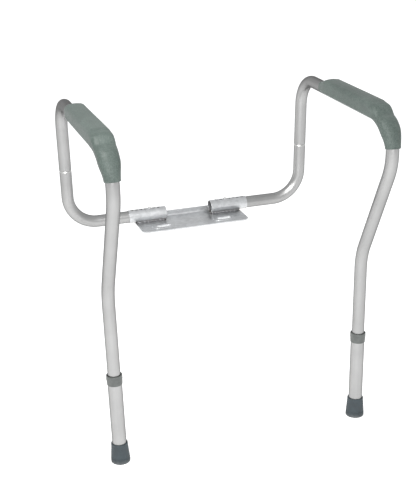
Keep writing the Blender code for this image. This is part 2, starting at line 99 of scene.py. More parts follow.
KNEE_REACH = 325.8 * MM
KNEE_HEIGHT = 363.6 * MM
FOOT_REACH = 336.7 * MM
REAR_BEND = 63.5 * MM
ELBOW_BEND = 60 * MM
BROW_BEND = 105 * MM
KNEE_BEND = 115 * MM
ARM_TUBE_END = 54.5 * MM
EXTENSION_BOTTOM = 9.3 * MM
COLLAR_TOP = 192.2 * MM
COLLAR_BOTTOM = 171.5 * MM
TIP_HEIGHT = 41.5 * MM
EXTENSION_TOP = 188.2 * MM
HEIGHT_BUTTON = 87 * MM
HEIGHT_STEP = 20 * MM
WIDTH_BUTTON_X = 88 * MM
WIDTH_STEP = 10 * MM
REAR_BUTTON_RISE = 14 * MM
HOLE_RADIUS = 3.5 * MM
HOLE_STEPS = range(-2, 5)
BUTTON_RADIUS = 3.2 * MM
BUTTON_PROUD = 2.7 * MM
BUTTON_FLANGE = 1.2 * MM
FLANGE_RADIUS = 4.6 * MM
FLANGE_IN_TUBE = 9.8 * MM
FLANGE_IN_SPIGOT = 7.8 * MM
SPRING_WIDTH = 7 * MM
SPRING_THICKNESS = 0.6 * MM
CLEARANCE = 0.3 * MM


# ---------------------------------------------------------------- places
def side_point(side, reach, height):
    """A point in the plane of a side frame: reach forwards of the rear tube, height off the floor."""
    across = SIDE_OFFSET + LEAN * (height + FLOOR - AXIS_Z)
    return Vector((side * across, REAR_Y - reach, height + FLOOR))


def width_point(side, distance):
    """A point on the socket's axis, at a distance from the middle."""
    return Vector((side * distance, REAR_Y, AXIS_Z))


def rear_axis(side):
    return Vector((side * LEAN, 0, 1)).normalized()


def rear_snap(side):
    """Where the rear button's axis meets the rear tube's."""
    return side_point(side, 0, REAR_JOINT_HEIGHT) + rear_axis(side) * REAR_BUTTON_RISE


def leg_axis(side):
    return (side_point(side, KNEE_REACH, KNEE_HEIGHT) - side_point(side, FOOT_REACH, 0)).normalized()


def leg_point(side, distance):
    return side_point(side, FOOT_REACH, 0) + leg_axis(side) * distance


def leg_back(side):
    axis = leg_axis(side)
    return (BACK - axis * axis.dot(BACK)).normalized()


def axis_matrix(origin, direction):
    """Local Z along the direction, local X as near to the world's X as it can be."""
    up = direction.normalized()
    across = Vector((1, 0, 0))
    right = (across - up * up.dot(across)).normalized()
    turn = Matrix((right, up.cross(right), up)).transposed().to_4x4()
    return Matrix.Translation(origin) @ turn


def fillet(before, corner, after, radius, steps=None, facet=math.radians(3)):
    """The points of one rounded corner: so many steps, or else enough for the facet angle."""
    into = (corner - before).normalized()
    out = (after - corner).normalized()
    turn = into.angle(out)
    inward = (out - into * into.dot(out)).normalized()
    centre = corner - into * radius * math.tan(turn / 2) + inward * radius
    steps = steps or max(3, math.ceil(turn / facet))
    angles = [turn * step / steps for step in range(steps + 1)]
    return [centre + radius * (into * math.sin(angle) - inward * math.cos(angle)) for angle in angles]


def rounded_path(corners, radii, facet=math.radians(3)):
    """Points along straight runs joined by arcs."""
    points = [corners[0].copy()]
    for before, corner, after, radius in zip(corners, corners[1:], corners[2:], radii):
        points += fillet(before, corner, after, radius, facet=facet)
    points.append(corners[-1].copy())
    return points


def path_length(points):
    return sum((second - first).length for first, second in zip(points, points[1:]))


def rear_corners(side):
    return [
        width_point(side, REAR_TUBE_START),
        width_point(side, SIDE_OFFSET),
        side_point(side, 0, REAR_JOINT_HEIGHT),
    ]


# ---------------------------------------------------------------- mesh makers
SAME_POINT = 1e-7
ON_LINE = 1e-6


def new_object(name, shape, sharp=35):
    """A smooth-shaded object from a bmesh, with edges over the given angle kept sharp."""
    mesh = bpy.data.meshes.new(name)
    bmesh.ops.recalc_face_normals(shape, faces=shape.faces)
    shape.to_mesh(mesh)
    shape.free()
    new = bpy.data.objects.new(name, mesh)
    bpy.context.scene.collection.objects.link(new)
    return smooth(new, sharp)


def smooth(target, sharp):
    """Smooth shading with sharp edges kept and the large faces deciding the normals."""
    target.data.shade_smooth()
    target.data.set_sharp_from_angle(angle=math.radians(sharp))
    weighting = target.modifiers.new("weighting", "WEIGHTED_NORMAL")
    weighting.keep_sharp = True
    return apply_modifiers(target)


def sweep_frames(points):
    """Directions and a pair of cross vectors at each point, carried along without twist."""
    frames = []
    across = None
    for index, point in enumerate(points):
        before = points[max(index - 1, 0)]
        after = points[min(index + 1, len(points) - 1)]
        if 0 < index < len(points) - 1:
            direction = (point - before).normalized() + (after - point).normalized()
        else:
            direction = after - before
        direction.normalize()
        if across is None:
            seed = BACK if abs(direction.y) < 0.9 else UP
            across = (seed - direction * seed.dot(direction)).normalized()
        else:
            across = (across - direction * across.dot(direction)).normalized()
        frames.append((direction, across, direction.cross(across)))
    return frames


def with_rings(points, spots, reach=8 * MM, nearby=20 * MM):
    """The path with extra points on both sides of each nearby spot, so that a hole there stays local."""
    out = [points[0]]
    for first, second in zip(points, points[1:]):
        run = second - first
        shares = []
        for spot in spots:
            along = (spot - first).dot(run) / run.length_squared
            offset = (spot - first - run * along).length
            for shift in (-reach, reach):
                share = along + shift / run.length
                if offset < nearby and 0.002 < share < 0.998:
                    shares.append(share)
        out += [first + run * share for share in sorted(shares)]
        out.append(second)
    return out


def circle(count):
    """The angles of that many points round a circle."""
    return [2 * math.pi * index / count for index in range(count)]


def join_rings(shape, rings, closed=False):
    """Faces between rings of equally many vertices; the row of rings closes on itself or is capped."""
    for first, second in zip(rings, rings[1:] + rings[:1] if closed else rings[1:]):
        for index in range(len(first)):
            after = (index + 1) % len(first)
            shape.faces.new((first[index], first[after], second[after], second[index]))
    if not closed:
        shape.faces.new(rings[0][::-1])
        shape.faces.new(rings[-1])
    return shape


def tube_shape(points, radii, wall, sides=56, rim=0.35 * MM):
    """A hollow tube with softened ends. Radii are the outer ones, one for each point."""
    frames = sweep_frames(points)
    skins = []
    for inset, order in ((0, 1), (wall, -1)):
        rings = []
        for end in (0, len(points) - 1):
            direction = frames[end][0] * (1 if end == 0 else -1)
            edge = radii[end] - rim if inset == 0 else radii[end] - wall + rim
            full = radii[end] - inset
            rings.append(
                [
                    (points[end], edge, frames[end]),
                    (points[end] + direction * rim * 0.3, (edge + full * 2) / 3, frames[end]),
                    (points[end] + direction * rim, full, frames[end]),
                ]
            )
        middle = [
            (point, radius - inset, turn)
            for point, radius, turn in list(zip(points, radii, frames))[1:-1]
        ]
        skins.append((rings[0] + middle + rings[1][::-1])[::order])
    shape = bmesh.new()
    loops = []
    for point, radius, (direction, across, over) in skins[0] + skins[1]:
        offsets = [across * math.cos(angle) + over * math.sin(angle) for angle in circle(sides)]
        loops.append([shape.verts.new(point + offset * radius) for offset in offsets])
    return join_rings(shape, loops, closed=True)


def lathe_shape(profile, place, steps):
    """A closed (radius, height) profile turned about the place's Z; radius 0 lies on the axis."""
    shape = bmesh.new()
    rings = []
    for radius, height in profile:
        if radius < SAME_POINT:
            rings.append([shape.verts.new(place @ Vector((0, 0, height)))])
            continue
        spots = [(radius * math.cos(angle), radius * math.sin(angle), height) for angle in circle(steps)]
        rings.append([shape.verts.new(place @ Vector(spot)) for spot in spots])
    pairs = list(zip(rings, rings[1:]))
    if len(rings[0]) > 1:
        pairs.append((rings[-1], rings[0]))
    for first, second in pairs:
        for index in range(steps):
            after = (index + 1) % steps
            if len(first) == 1 and len(second) > 1:
                shape.faces.new((first[0], second[index], second[after]))
            elif len(second) == 1 and len(first) > 1:
                shape.faces.new((first[index], second[0], first[after]))
            elif len(first) > 1:
                shape.faces.new((first[index], first[after], second[after], second[index]))
    return shape


def smooth_profile(corners, radii, steps=5):
    """A (radius, height) profile whose inner corners are rounded; 0 keeps a corner sharp."""
    spread = [Vector((radius, 0, height)) for radius, height in corners]
    points = [spread[0]]
    for before, corner, after, radius in zip(spread, spread[1:], spread[2:], radii):
        if not radius:
            points.append(corner)
            continue
        points += rounded_path([before, corner, after], [radius], math.radians(90 / steps))[1:-1]
    points.append(spread[-1])
    return [(point.x, point.z) for point in points]


def apply_modifiers(target):
    """Replaces the object's mesh by its evaluated one."""
    bpy.context.view_layer.update()
    evaluated = target.evaluated_get(bpy.context.evaluated_depsgraph_get())
    mesh = bpy.data.meshes.new_from_object(evaluated)
    target.modifiers.clear()
    target.data = mesh
    return target


def cut(target, shapes, operation="DIFFERENCE", sharp=35):
    """Booleans the closed bmeshes with the object and applies the result."""
    tools = []
    for shape in shapes:
        tool = new_object("tool", shape)
        modifier = target.modifiers.new("cut", "BOOLEAN")
        modifier.operation = operation
        modifier.solver = "EXACT"
        modifier.object = tool
        tools.append(tool)
    apply_modifiers(target)
    for tool in tools:
        bpy.data.objects.remove(tool, do_unlink=True)
    return smooth(target, sharp)


def hole_shape(centre, outward, surface):
    """A drill from near the tube's axis, with a small countersink where it leaves the surface."""
    inner = 2 * MM
    profile = [
        (0, surface + 2 * MM),
        (HOLE_RADIUS + 2.1 * MM, surface + 2 * MM),
        (HOLE_RADIUS + 0.35 * MM, surface + 0.15 * MM),
        (HOLE_RADIUS, surface - 0.3 * MM),
        (HOLE_RADIUS, inner),
        (0, inner),
    ]
    return lathe_shape(profile, axis_matrix(centre, outward), 36)


def unroll(target, points):
    """Stores on each vertex how far along the path it is and its two offsets from it, as 'drawn'."""
    line = np.array([tuple(point) for point in points])
    starts, runs = line[:-1], line[1:] - line[:-1]
    lengths = np.linalg.norm(runs, axis=1)
    before = np.concatenate(([0], np.cumsum(lengths)[:-1]))
    count = len(target.data.vertices)
    spots = np.zeros(count * 3)
    target.data.vertices.foreach_get("co", spots)
    spots = spots.reshape(-1, 3)
    share = ((spots[:, None] - starts) * runs).sum(-1) / lengths**2
    share = share.clip(0, 1)
    nearest = starts + runs * share[..., None]
    distance = np.linalg.norm(spots[:, None] - nearest, axis=2)
    best = distance.argmin(1)
    rows = np.arange(count)
    along = before[best] + share[rows, best] * lengths[best]
    frames = sweep_frames([Vector(point) for point in points])
    across = np.array([tuple(turn[1]) for turn in frames])[best]
    over = np.array([tuple(turn[2]) for turn in frames])[best]
    offset = spots - nearest[rows, best]
    values = np.stack((along, (offset * across).sum(1), (offset * over).sum(1)), axis=1)
    layer = target.data.attributes.new("drawn", "FLOAT_VECTOR", "POINT")
    layer.data.foreach_set("vector", values.astype(np.float32).ravel())
    return target


# ---------------------------------------------------------------- materials
class Nodes:
    """Short calls for building one material's nodes."""

    def __init__(self, name):
        self.material = bpy.data.materials.new(name)
        self.material.use_nodes = True
        self.tree = self.material.node_tree
        self.shader = self.tree.nodes["Principled BSDF"]

    def add(self, kind, inputs=None, **settings):
        node = self.tree.nodes.new("ShaderNode" + kind)
        for key, value in settings.items():
            setattr(node, key, value)
        for key, value in (inputs or {}).items():
            if isinstance(value, bpy.types.NodeSocket):
                self.tree.links.new(value, node.inputs[key])
            else:
                node.inputs[key].default_value = value
        return node

    def place(self, scale=(1, 1, 1), attribute=None):
        """Coordinates in metres: the object's own, or a stored attribute."""
        if attribute:
            source = self.add("Attribute", attribute_name=attribute).outputs["Vector"]
        else:
            source = self.add("TexCoord").outputs["Object"]
        return self.add("Mapping", {"Vector": source, "Scale": scale}).outputs["Vector"]

    def math(self, operation, first, second, clamp=False):
        return self.add("Math", {0: first, 1: second}, operation=operation, use_clamp=clamp).outputs[0]

    def noise(self, where, scale, detail, rough, distortion=0):
        values = {"Vector": where, "Scale": scale, "Detail": detail, "Roughness": rough}
        values["Distortion"] = distortion
        return self.add("TexNoise", values).outputs["Fac"]

    def ramp(self, factor, stops):
        """A colour ramp; each stop is (position, grey or colour)."""
        node = self.add("ValToRGB", {"Fac": factor})
        marks = node.color_ramp.elements
        while len(marks) < len(stops):
            marks.new(0.5)
        for mark, (position, value) in zip(marks, stops):
            mark.position = position
            colour = value if isinstance(value, tuple) else (value, value, value)
            mark.color = (*colour, 1)
        return node.outputs["Color"]

    def spread(self, factor, low, high, start=0.3, end=0.7):
        """Maps a factor's range onto low to high."""
        values = {"Value": factor, "From Min": start, "From Max": end}
        values.update({"To Min": low, "To Max": high})
        return self.add("MapRange", values).outputs["Result"]

    def mix(self, factor, first, second, blend="MIX"):
        node = self.add("Mix", data_type="RGBA", blend_type=blend)
        for key, value in ((0, factor), (6, first), (7, second)):
            if isinstance(value, bpy.types.NodeSocket):
                self.tree.links.new(value, node.inputs[key])
            else:
                node.inputs[key].default_value = value if key == 0 else (*value, 1)
        return node.outputs[2]

    def bump(self, height, strength, distance, under=None):
        values = {"Height": height, "Strength": strength, "Distance": distance}
        if under:
            values["Normal"] = under
        return self.add("Bump", values).outputs["Normal"]

    def finish(self, colour, roughness, normal=None, **constants):
        for key, value in (("Base Color", colour), ("Roughness", roughness), ("Normal", normal)):
            if isinstance(value, bpy.types.NodeSocket):
                self.tree.links.new(value, self.shader.inputs[key])
            elif value is not None:
                self.shader.inputs[key].default_value = value
        for key, value in constants.items():
            self.shader.inputs[key.replace("_", " ")].default_value = value
        return self.material


ALUMINIUM = (0.38, 0.38, 0.378)
SWAGE_HIGHLIGHT = (0.60, 0.60, 0.59)
ZINC = (0.60, 0.61, 0.62)
HEAT_STAIN = (0.30, 0.25, 0.20)
FOAM = (0.073, 0.094, 0.085)
FOAM_DARK = (0.054, 0.072, 0.064)
FOAM_LIGHT = (0.095, 0.119, 0.108)
FOAM_FLECK = (0.50, 0.55, 0.52)
DUST = (0.30, 0.30, 0.29)


def shade(tint, amount):
    return tuple(value * amount for value in tint)


def aluminium(name, highlight_from=None):
    """Satin anodised tube: fine drawing lines along it, faint clouding and a few handling marks.

    A paler band is painted on the swage shoulder, from the given distance along the tube, as a highlight.
    """
    make = Nodes(name)
    lines = make.noise(make.place((6, 900, 900), "drawn"), 1, 3, 0.6)
    bands = make.noise(make.place((2, 160, 160), "drawn"), 1, 2, 0.5)
    cloud = make.noise(make.place(), 14, 4, 0.55)
    marks = make.noise(make.place((40, 260, 260), "drawn"), 1, 5, 0.7, 0.8)
    colour = make.ramp(cloud, ((0.3, shade(ALUMINIUM, 0.93)), (0.7, shade(ALUMINIUM, 1.06))))
    streak = make.spread(lines, 0.96, 1.03)
    streak = make.add("CombineColor", {0: streak, 1: streak, 2: streak}).outputs[0]
    colour = make.mix(1.0, colour, streak, "MULTIPLY")
    # painted highlight: a paler band on the swage shoulder at the joint
    if highlight_from:
        along = make.add("Attribute", attribute_name="drawn").outputs["Vector"]
        along = make.add("SeparateXYZ", {0: along}).outputs["X"]
        start = make.spread(along, 0, 1, highlight_from, highlight_from + 0.4 * MM)
        stop = make.spread(along, 1, 0, highlight_from + SWAGE_LENGTH, highlight_from + SWAGE_LENGTH + 3 * MM)
        colour = make.mix(make.math("MULTIPLY", start, stop), colour, SWAGE_HIGHLIGHT)
    rough = make.math("ADD", make.spread(lines, 0.30, 0.40), make.spread(bands, -0.03, 0.05))
    rough = make.math("ADD", rough, make.spread(marks, 0, 0.10, 0.66, 0.8), clamp=True)
    normal = make.bump(lines, 0.10, 0.0003)
    return make.finish(colour, rough, normal, Metallic=1.0, Specular_Tint=(0.20, 0.20, 0.20, 1))


def steel(name, heat=False):
    """Zinc-plated sheet: soft spangle, fine rolling lines, duller patches; heat stains it by the welds."""
    make = Nodes(name)
    where = make.place()
    spangle = make.add("TexVoronoi", {"Vector": where, "Scale": 150.0, "Randomness": 1.0}).outputs["Color"]
    cells = make.add("SeparateColor", {0: spangle}).outputs[0]
    rolled = make.noise(make.place((30, 900, 900)), 1, 3, 0.6)
    patches = make.noise(where, 22, 5, 0.6)
    mixed = make.math("ADD", make.math("MULTIPLY", cells, 0.35), patches)
    colour = make.ramp(mixed, ((0.35, shade(ZINC, 0.84)), (0.95, shade(ZINC, 1.10))))
    rough = make.math("ADD", make.spread(rolled, 0.30, 0.40), make.spread(patches, -0.04, 0.10))
    normal = make.bump(rolled, 0.12, 0.0003)
    normal = make.bump(cells, 0.05, 0.0003, normal)
    if heat:
        height = make.add("SeparateXYZ", {0: make.add("TexCoord").outputs["Object"]}).outputs["Z"]
        low = make.spread(height, 1, 0, AXIS_Z - 13.5 * MM, AXIS_Z - 8 * MM)
        blotch = make.math("MULTIPLY", low, make.spread(patches, 0.2, 1))
        colour = make.mix(blotch, colour, HEAT_STAIN)
    return make.finish(colour, rough, normal, Metallic=1.0)


def foam(name):
    """Self-skinned foam: a grey-green skin, finely mottled, with a soft pebble and a few pores."""
    make = Nodes(name)
    where = make.place()
    mottle = make.noise(where, 420, 4, 0.65)
    patch = make.noise(where, 60, 4, 0.6)
    wide = make.noise(where, 12, 3, 0.5)
    blend = make.math("ADD", make.math("MULTIPLY", mottle, 0.5), make.math("MULTIPLY", patch, 0.35))
    blend = make.math("ADD", blend, make.math("MULTIPLY", wide, 0.15))
    colour = make.ramp(blend, ((0.41, FOAM_DARK), (0.5, FOAM), (0.59, FOAM_LIGHT)))
    pores = make.add("TexVoronoi", {"Vector": where, "Scale": 900.0}).outputs["Distance"]
    flecks = make.ramp(make.noise(where, 1300, 2, 0.5), ((0.62, 0.0), (0.74, 1.0)))
    colour = make.mix(make.math("MULTIPLY", flecks, 0.22), colour, FOAM_FLECK)
    rough = make.spread(patch, 0.42, 0.56)
    normal = make.bump(pores, 0.18, 0.0004)
    normal = make.bump(mottle, 0.30, 0.0006, normal)
    normal = make.bump(patch, 0.15, 0.0012, normal)
    return make.finish(colour, rough, normal, Specular_IOR_Level=0.34)


def plastic(name, tint):
    """Moulded plastic with a spark-eroded grain."""
    make = Nodes(name)
    where = make.place()
    grain = make.noise(where, 1500, 3, 0.6)
    flow = make.noise(where, 90, 3, 0.5)
    colour = make.ramp(flow, ((0.32, shade(tint, 0.86)), (0.68, shade(tint, 1.14))))
    rough = make.spread(grain, 0.36, 0.5)
    normal = make.bump(grain, 0.22, 0.0004)
    return make.finish(colour, rough, normal)


def rubber(name, tint):
    """Moulded rubber: a dry bloom, dust in the hollows near the floor, a slightly pitted skin."""
    make = Nodes(name)
    where = make.place()
    grain = make.noise(where, 900, 4, 0.65)
    bloom = make.noise(where, 75, 5, 0.6, 0.4)
    colour = make.ramp(bloom, ((0.32, shade(tint, 0.80)), (0.7, shade(tint, 1.22))))
    height = make.add("SeparateXYZ", {0: where}).outputs["Z"]
    low = make.spread(height, 0.35, 0, FLOOR, FLOOR + 9 * MM)
    dust = make.math("MULTIPLY", low, make.spread(bloom, 0.3, 1))
    colour = make.mix(dust, colour, DUST)
    rough = make.spread(bloom, 0.58, 0.74)
    normal = make.bump(grain, 0.25, 0.0005)
    return make.finish(colour, rough, normal)


def bright_steel(name, tint, low, high):
    """Small plated or oiled parts: turned or rolled, with fine scratches."""
    make = Nodes(name)
    fine = make.noise(make.place((1, 1, 6)), 900, 4, 0.7)
    cloud = make.noise(make.place(), 200, 3, 0.5)
    colour = make.ramp(cloud, ((0.3, shade(tint, 0.82)), (0.7, tint)))
    rough = make.spread(fine, low, high)
    normal = make.bump(fine, 0.08, 0.0002)
    return make.finish(colour, rough, normal, Metallic=1.0)


REAR_TUBE_LENGTH = path_length(rounded_path(rear_corners(1), [REAR_BEND]))
TUBE_METAL = aluminium("satin_aluminium")
REAR_METAL = aluminium("satin_aluminium_swage_highlight", REAR_TUBE_LENGTH - SWAGE_LENGTH)
PLATE_METAL = steel("zinc_plated_sheet")
SOCKET_METAL = steel("zinc_plated_socket", heat=True)
WELD_METAL = bright_steel("weld_bead_steel", (0.36, 0.36, 0.37), 0.35, 0.55)
BUTTON_METAL = bright_steel("nickel_button", (0.66, 0.66, 0.66), 0.16, 0.30)
SPRING_METAL = bright_steel("spring_strip", (0.34, 0.35, 0.37), 0.28, 0.42)
PAD_FOAM = foam("grey_green_foam")
COLLAR_PLASTIC = plastic("grey_collar_plastic", (0.095, 0.102, 0.098))
TIP_RUBBER = rubber("slate_rubber", (0.034, 0.046, 0.053))


def dress(piece, material, body=None, replaces=()):
    """Gives a piece its material and its place in the frame."""
    piece.data.materials.clear()
    piece.data.materials.append(material)
    if body:
        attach(piece, body)
    if replaces:
        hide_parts(*replaces)
    return piece


# ---------------------------------------------------------------- tubes
def fine_tube(name, corners, bends, radius, wall, holes, tail=None):
    """A swept tube with drilled, countersunk holes; tail adds a swaged end of (points, radii)."""
    path = rounded_path(corners, bends) if bends else [corners[0].copy(), corners[-1].copy()]
    radii = [radius] * len(path)
    if tail:
        path[-1] = tail[0][0]
        path += tail[0][1:]
        radii = radii[:-1] + tail[1]
    spots = [centre for centre, outward, surface in holes]
    dense = with_rings(path, spots)
    sizes = []
    for point in dense:
        nearest = min(range(len(path)), key=lambda index: (path[index] - point).length)
        exact = (path[nearest] - point).length < SAME_POINT
        runs = range(len(path) - 1)
        ahead = next((run for run in runs if between(point, path[run], path[run + 1])), nearest)
        sizes.append(radii[nearest] if exact else min(radii[ahead], radii[ahead + 1]))
    piece = new_object(name, tube_shape(dense, sizes, wall))
    if holes:
        cut(piece, [hole_shape(centre, outward, surface) for centre, outward, surface in holes])
    return unroll(piece, path)


def between(point, first, second):
    """Whether the point is on the straight run from the first point to the second."""
    run = second - first
    share = (point - first).dot(run) / run.length_squared
    return 0 <= share <= 1 and (first + run * share - point).length < ON_LINE


def arm_corners(side):
    return [
        side_point(side, 0, REAR_JOINT_HEIGHT + CLEARANCE),
        side_point(side, 0, ARM_HEIGHT),
        side_point(side, FRONT_REACH, ARM_HEIGHT),
        side_point(side, FRONT_REACH, BROW_HEIGHT),
        side_point(side, KNEE_REACH, KNEE_HEIGHT),
        leg_point(side, ARM_TUBE_END),
    ]


def make_tubes(name, side):
    joint = side_point(side, 0, REAR_JOINT_HEIGHT)
    up = rear_axis(side)
    snap = rear_snap(side)
    bends = [REAR_BEND, ELBOW_BEND, BROW_BEND, KNEE_BEND]
    holes = [(snap, BACK, TUBE_RADIUS), (leg_point(side, HEIGHT_BUTTON), leg_back(side), TUBE_RADIUS)]
    arm = fine_tube("arm_tube_fine_" + name, arm_corners(side), bends, TUBE_RADIUS, TUBE_WALL, holes)
    dress(arm, TUBE_METAL, "arm_" + name, ["arm_tube_" + name])

    swage = []
    sizes = []
    for step in range(9):
        share = step / 8
        swage.append(joint - up * SWAGE_LENGTH * (1 - share))
        sizes.append(TUBE_RADIUS - SWAGE_DEPTH * share**1.6)
    swage += [joint + up * SWAGE_RUNOUT, joint + up * SPIGOT_LENGTH]
    tail = (swage, sizes + [SPIGOT_RADIUS, SPIGOT_RADIUS])
    holes = [(width_point(side, WIDTH_BUTTON_X), UP, TUBE_RADIUS), (snap, BACK, SPIGOT_RADIUS)]
    corners, bends = rear_corners(side), [REAR_BEND]
    rear = fine_tube("rear_tube_fine_" + name, corners, bends, TUBE_RADIUS, TUBE_WALL, holes, tail)
    dress(rear, REAR_METAL, "rear_" + name, ["rear_tube_" + name])

    ends = [leg_point(side, EXTENSION_BOTTOM), leg_point(side, EXTENSION_TOP)]
    spots = [leg_point(side, HEIGHT_BUTTON + HEIGHT_STEP * step) for step in HOLE_STEPS]
    holes = [(spot, leg_back(side), LEG_RADIUS) for spot in spots]
    leg = fine_tube("leg_extension_fine_" + name, ends, None, LEG_RADIUS, LEG_WALL, holes)
    dress(leg, TUBE_METAL, "leg_" + name, ["leg_extension_" + name])

    ends = [width_point(side, SOCKET_INNER), width_point(side, SOCKET_OUTER)]
    spots = [width_point(side, WIDTH_BUTTON_X + WIDTH_STEP * step) for step in HOLE_STEPS]
    holes = [(spot, UP, LEG_RADIUS) for spot in spots]
    socket = fine_tube("socket_fine_" + name, ends, None, LEG_RADIUS, LEG_WALL, holes)
    dress(socket, SOCKET_METAL, "bracket", ["socket_" + name])


# ---------------------------------------------------------------- turned pieces
def make_collar(name, side):
    """A moulded ring: a cupped top edge, a full upper band and a taper down to the extension.

    Its corners are (radius, distance up the leg).
    """
    top, bottom = COLLAR_TOP, COLLAR_BOTTOM
    step = EXTENSION_TOP + CLEARANCE
    corners = [
        (13.0 * MM, step),
        (13.0 * MM, top - 2.2 * MM),
        (14.3 * MM, top),
        (16.1 * MM, top),
        (16.2 * MM, top - 9.5 * MM),
        (15.75 * MM, top - 10.1 * MM),
        (15.9 * MM, top - 11 * MM),
        (15.35 * MM, bottom),
        (14.6 * MM, bottom),
        (14.6 * MM, step),
    ]
    radii = [0, 0.5 * MM, 1.7 * MM, 0.5 * MM, 0.3 * MM, 0.5 * MM, 0.35 * MM, 0]
    place = axis_matrix(leg_point(side, 0), leg_axis(side))
    shape = lathe_shape(smooth_profile(corners, radii), place, 84)
    piece = new_object("leg_collar_fine_" + name, shape, 50)
    dress(piece, COLLAR_PLASTIC, "leg_" + name, ["leg_collar_" + name])


def make_tip(name, side):
    """A flared cup with grip rings low down, cut level with the floor, with a ringed sole."""
    cup_floor, cup_radius, under = 7.5 * MM, 14.6 * MM, -3 * MM
    corners = [
        (0, cup_floor),
        (cup_radius, cup_floor),
        (cup_radius, TIP_HEIGHT),
        (16.75 * MM, TIP_HEIGHT),
        (17.0 * MM, TIP_HEIGHT - 7 * MM),
    ]
    radii = [0, 0.4 * MM, 1.6 * MM]
    for ring in range(3):
        height = 11.5 * MM - ring * 3.1 * MM
        wide = 18.75 * MM + ring * 0.22 * MM
        corners += [(wide, height), (wide - 0.55 * MM, height - 0.45 * MM)]
        corners += [(wide - 0.5 * MM, height - 1.2 * MM), (wide + 0.1 * MM, height - 1.6 * MM)]
        radii += [3 * MM if ring == 0 else 0.25 * MM, 0.15 * MM, 0.15 * MM, 0.25 * MM]
    corners += [(19.35 * MM, 1.6 * MM), (19.0 * MM, under), (0, under)]
    radii += [0.3 * MM, 0.8 * MM, 0]
    foot = leg_point(side, 0)
    shape = lathe_shape(smooth_profile(corners, radii), axis_matrix(foot, leg_axis(side)), 84)
    piece = new_object("foot_tip_fine_" + name, shape, 50)
    size = 80 * MM
    below = bmesh.new()
    bmesh.ops.create_cube(below, size=size, matrix=Matrix.Translation(foot - UP * size / 2))
    grooves = []
    for radius in (5 * MM, 9.5 * MM, 14 * MM):
        groove = ((-0.9, -1), (0.9, -1), (0.6, 1.1), (-0.6, 1.1))
        profile = [(radius + offset * MM, height * MM) for offset, height in groove]
        grooves.append(lathe_shape(profile, Matrix.Translation(foot), 64))
    cut(piece, [below] + grooves, sharp=50)
    dress(piece, TIP_RUBBER, "leg_" + name, ["foot_tip_" + name])


def make_button(kind, name, centre, outward, flange, top):
    """A turned pin with a domed end and a flange that stops it in the tube."""
    foot = flange - BUTTON_FLANGE
    corners = [
        (0, top),
        (BUTTON_RADIUS, top - 0.25 * MM),
        (BUTTON_RADIUS, flange + 0.3 * MM),
        (BUTTON_RADIUS, flange),
        (FLANGE_RADIUS, flange),
        (FLANGE_RADIUS, foot),
        (0, foot),
    ]
    radii = [1.7 * MM, 0, 0, 0.25 * MM, 0.25 * MM]
    shape = lathe_shape(smooth_profile(corners, radii, 8), axis_matrix(centre, outward), 48)
    piece = new_object(f"{kind}_button_fine_{name}", shape, 50)
    button = f"{kind}_button_{name}"
    dress(piece, BUTTON_METAL, button, [button])


def make_spring(kind, name, centre, outward, along, flange, bore):
    """A bent leaf behind a button: one leg moves with the button, the other stays on the bore."""
    half_width, half_depth, edge = SPRING_WIDTH / 2, SPRING_THICKNESS / 2, 0.12 * MM
    upper = flange - BUTTON_FLANGE - CLEARANCE - half_depth
    seat = bore * 0.98  # inside the 16 flat sides of the CAD's bore
    lower = CLEARANCE + half_depth - math.sqrt(seat**2 - half_width**2)
    # (along in millimetres, outward in metres) for the middle of the strip
    corners = [(7, upper), (-4, upper), (-26, -1 * MM), (-21, lower), (5, lower)]
    corners = [centre + along * x * MM + outward * y for x, y in corners]
    path = rounded_path(corners, [8 * MM, 3 * MM, 3 * MM], math.radians(6))
    across = along.cross(outward)
    quarter = [(half_width, half_depth - edge), (half_width - edge, half_depth)]
    section = quarter + [(-x, y) for x, y in quarter[::-1]]
    section += [(-x, -y) for x, y in section]
    shape = bmesh.new()
    rings = []
    for point, turn in zip(path, sweep_frames(path)):
        over = across.cross(turn[0])
        rings.append([shape.verts.new(point + across * x + over * y) for x, y in section])
    piece = new_object(f"{kind}_spring_fine_{name}", join_rings(shape, rings), 30)
    dress(piece, SPRING_METAL, None, [f"{kind}_spring_{name}"])
    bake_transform(piece)


# ---------------------------------------------------------------- armrest pads
# Along the tube from the rear joint's axis, in millimetres: distance, half width, height, side depth.
PAD_SECTIONS = (
    (119, 15.2, 15.2, 2),
    (160, 20.6, 27.2, 1.5),
    (348, 21.4, 27.8, 1),
    (366, 21.8, 25.2, 1.5),
    (389, 20.8, 15.4, 3),
    (413, 20.2, 16.4, 3),
    (450.5, 14.9, 14.8, 2),
)
PAD_CHANNEL = 13.0
PAD_LIP = 14.0
PAD_LIP_ANGLE = math.radians(35)
CREASE_AT, CREASE_SPREAD, CREASE_DEPTH = 387, 7, 1.6
KNUCKLE_AT, KNUCKLE_SPREAD, KNUCKLE_RISE = 408, 12, 1.3
ROUNDING_STARTS, ROUNDING_RUN = 366, 44


def eased(share):
    share = min(max(share, 0), 1)
    return share * share * (3 - 2 * share)


def bulge(distance, middle, spread):
    return math.exp(-(((distance - middle) / spread) ** 2))


def pad_size(distance):
    """Half width, height and side depth at a distance along the tube's axis."""
    for before, after in zip(PAD_SECTIONS, PAD_SECTIONS[1:]):
        if distance <= after[0]:
            break
    share = eased((distance - before[0]) / (after[0] - before[0]))
    return [low + (high - low) * share for low, high in zip(before[1:], after[1:])]


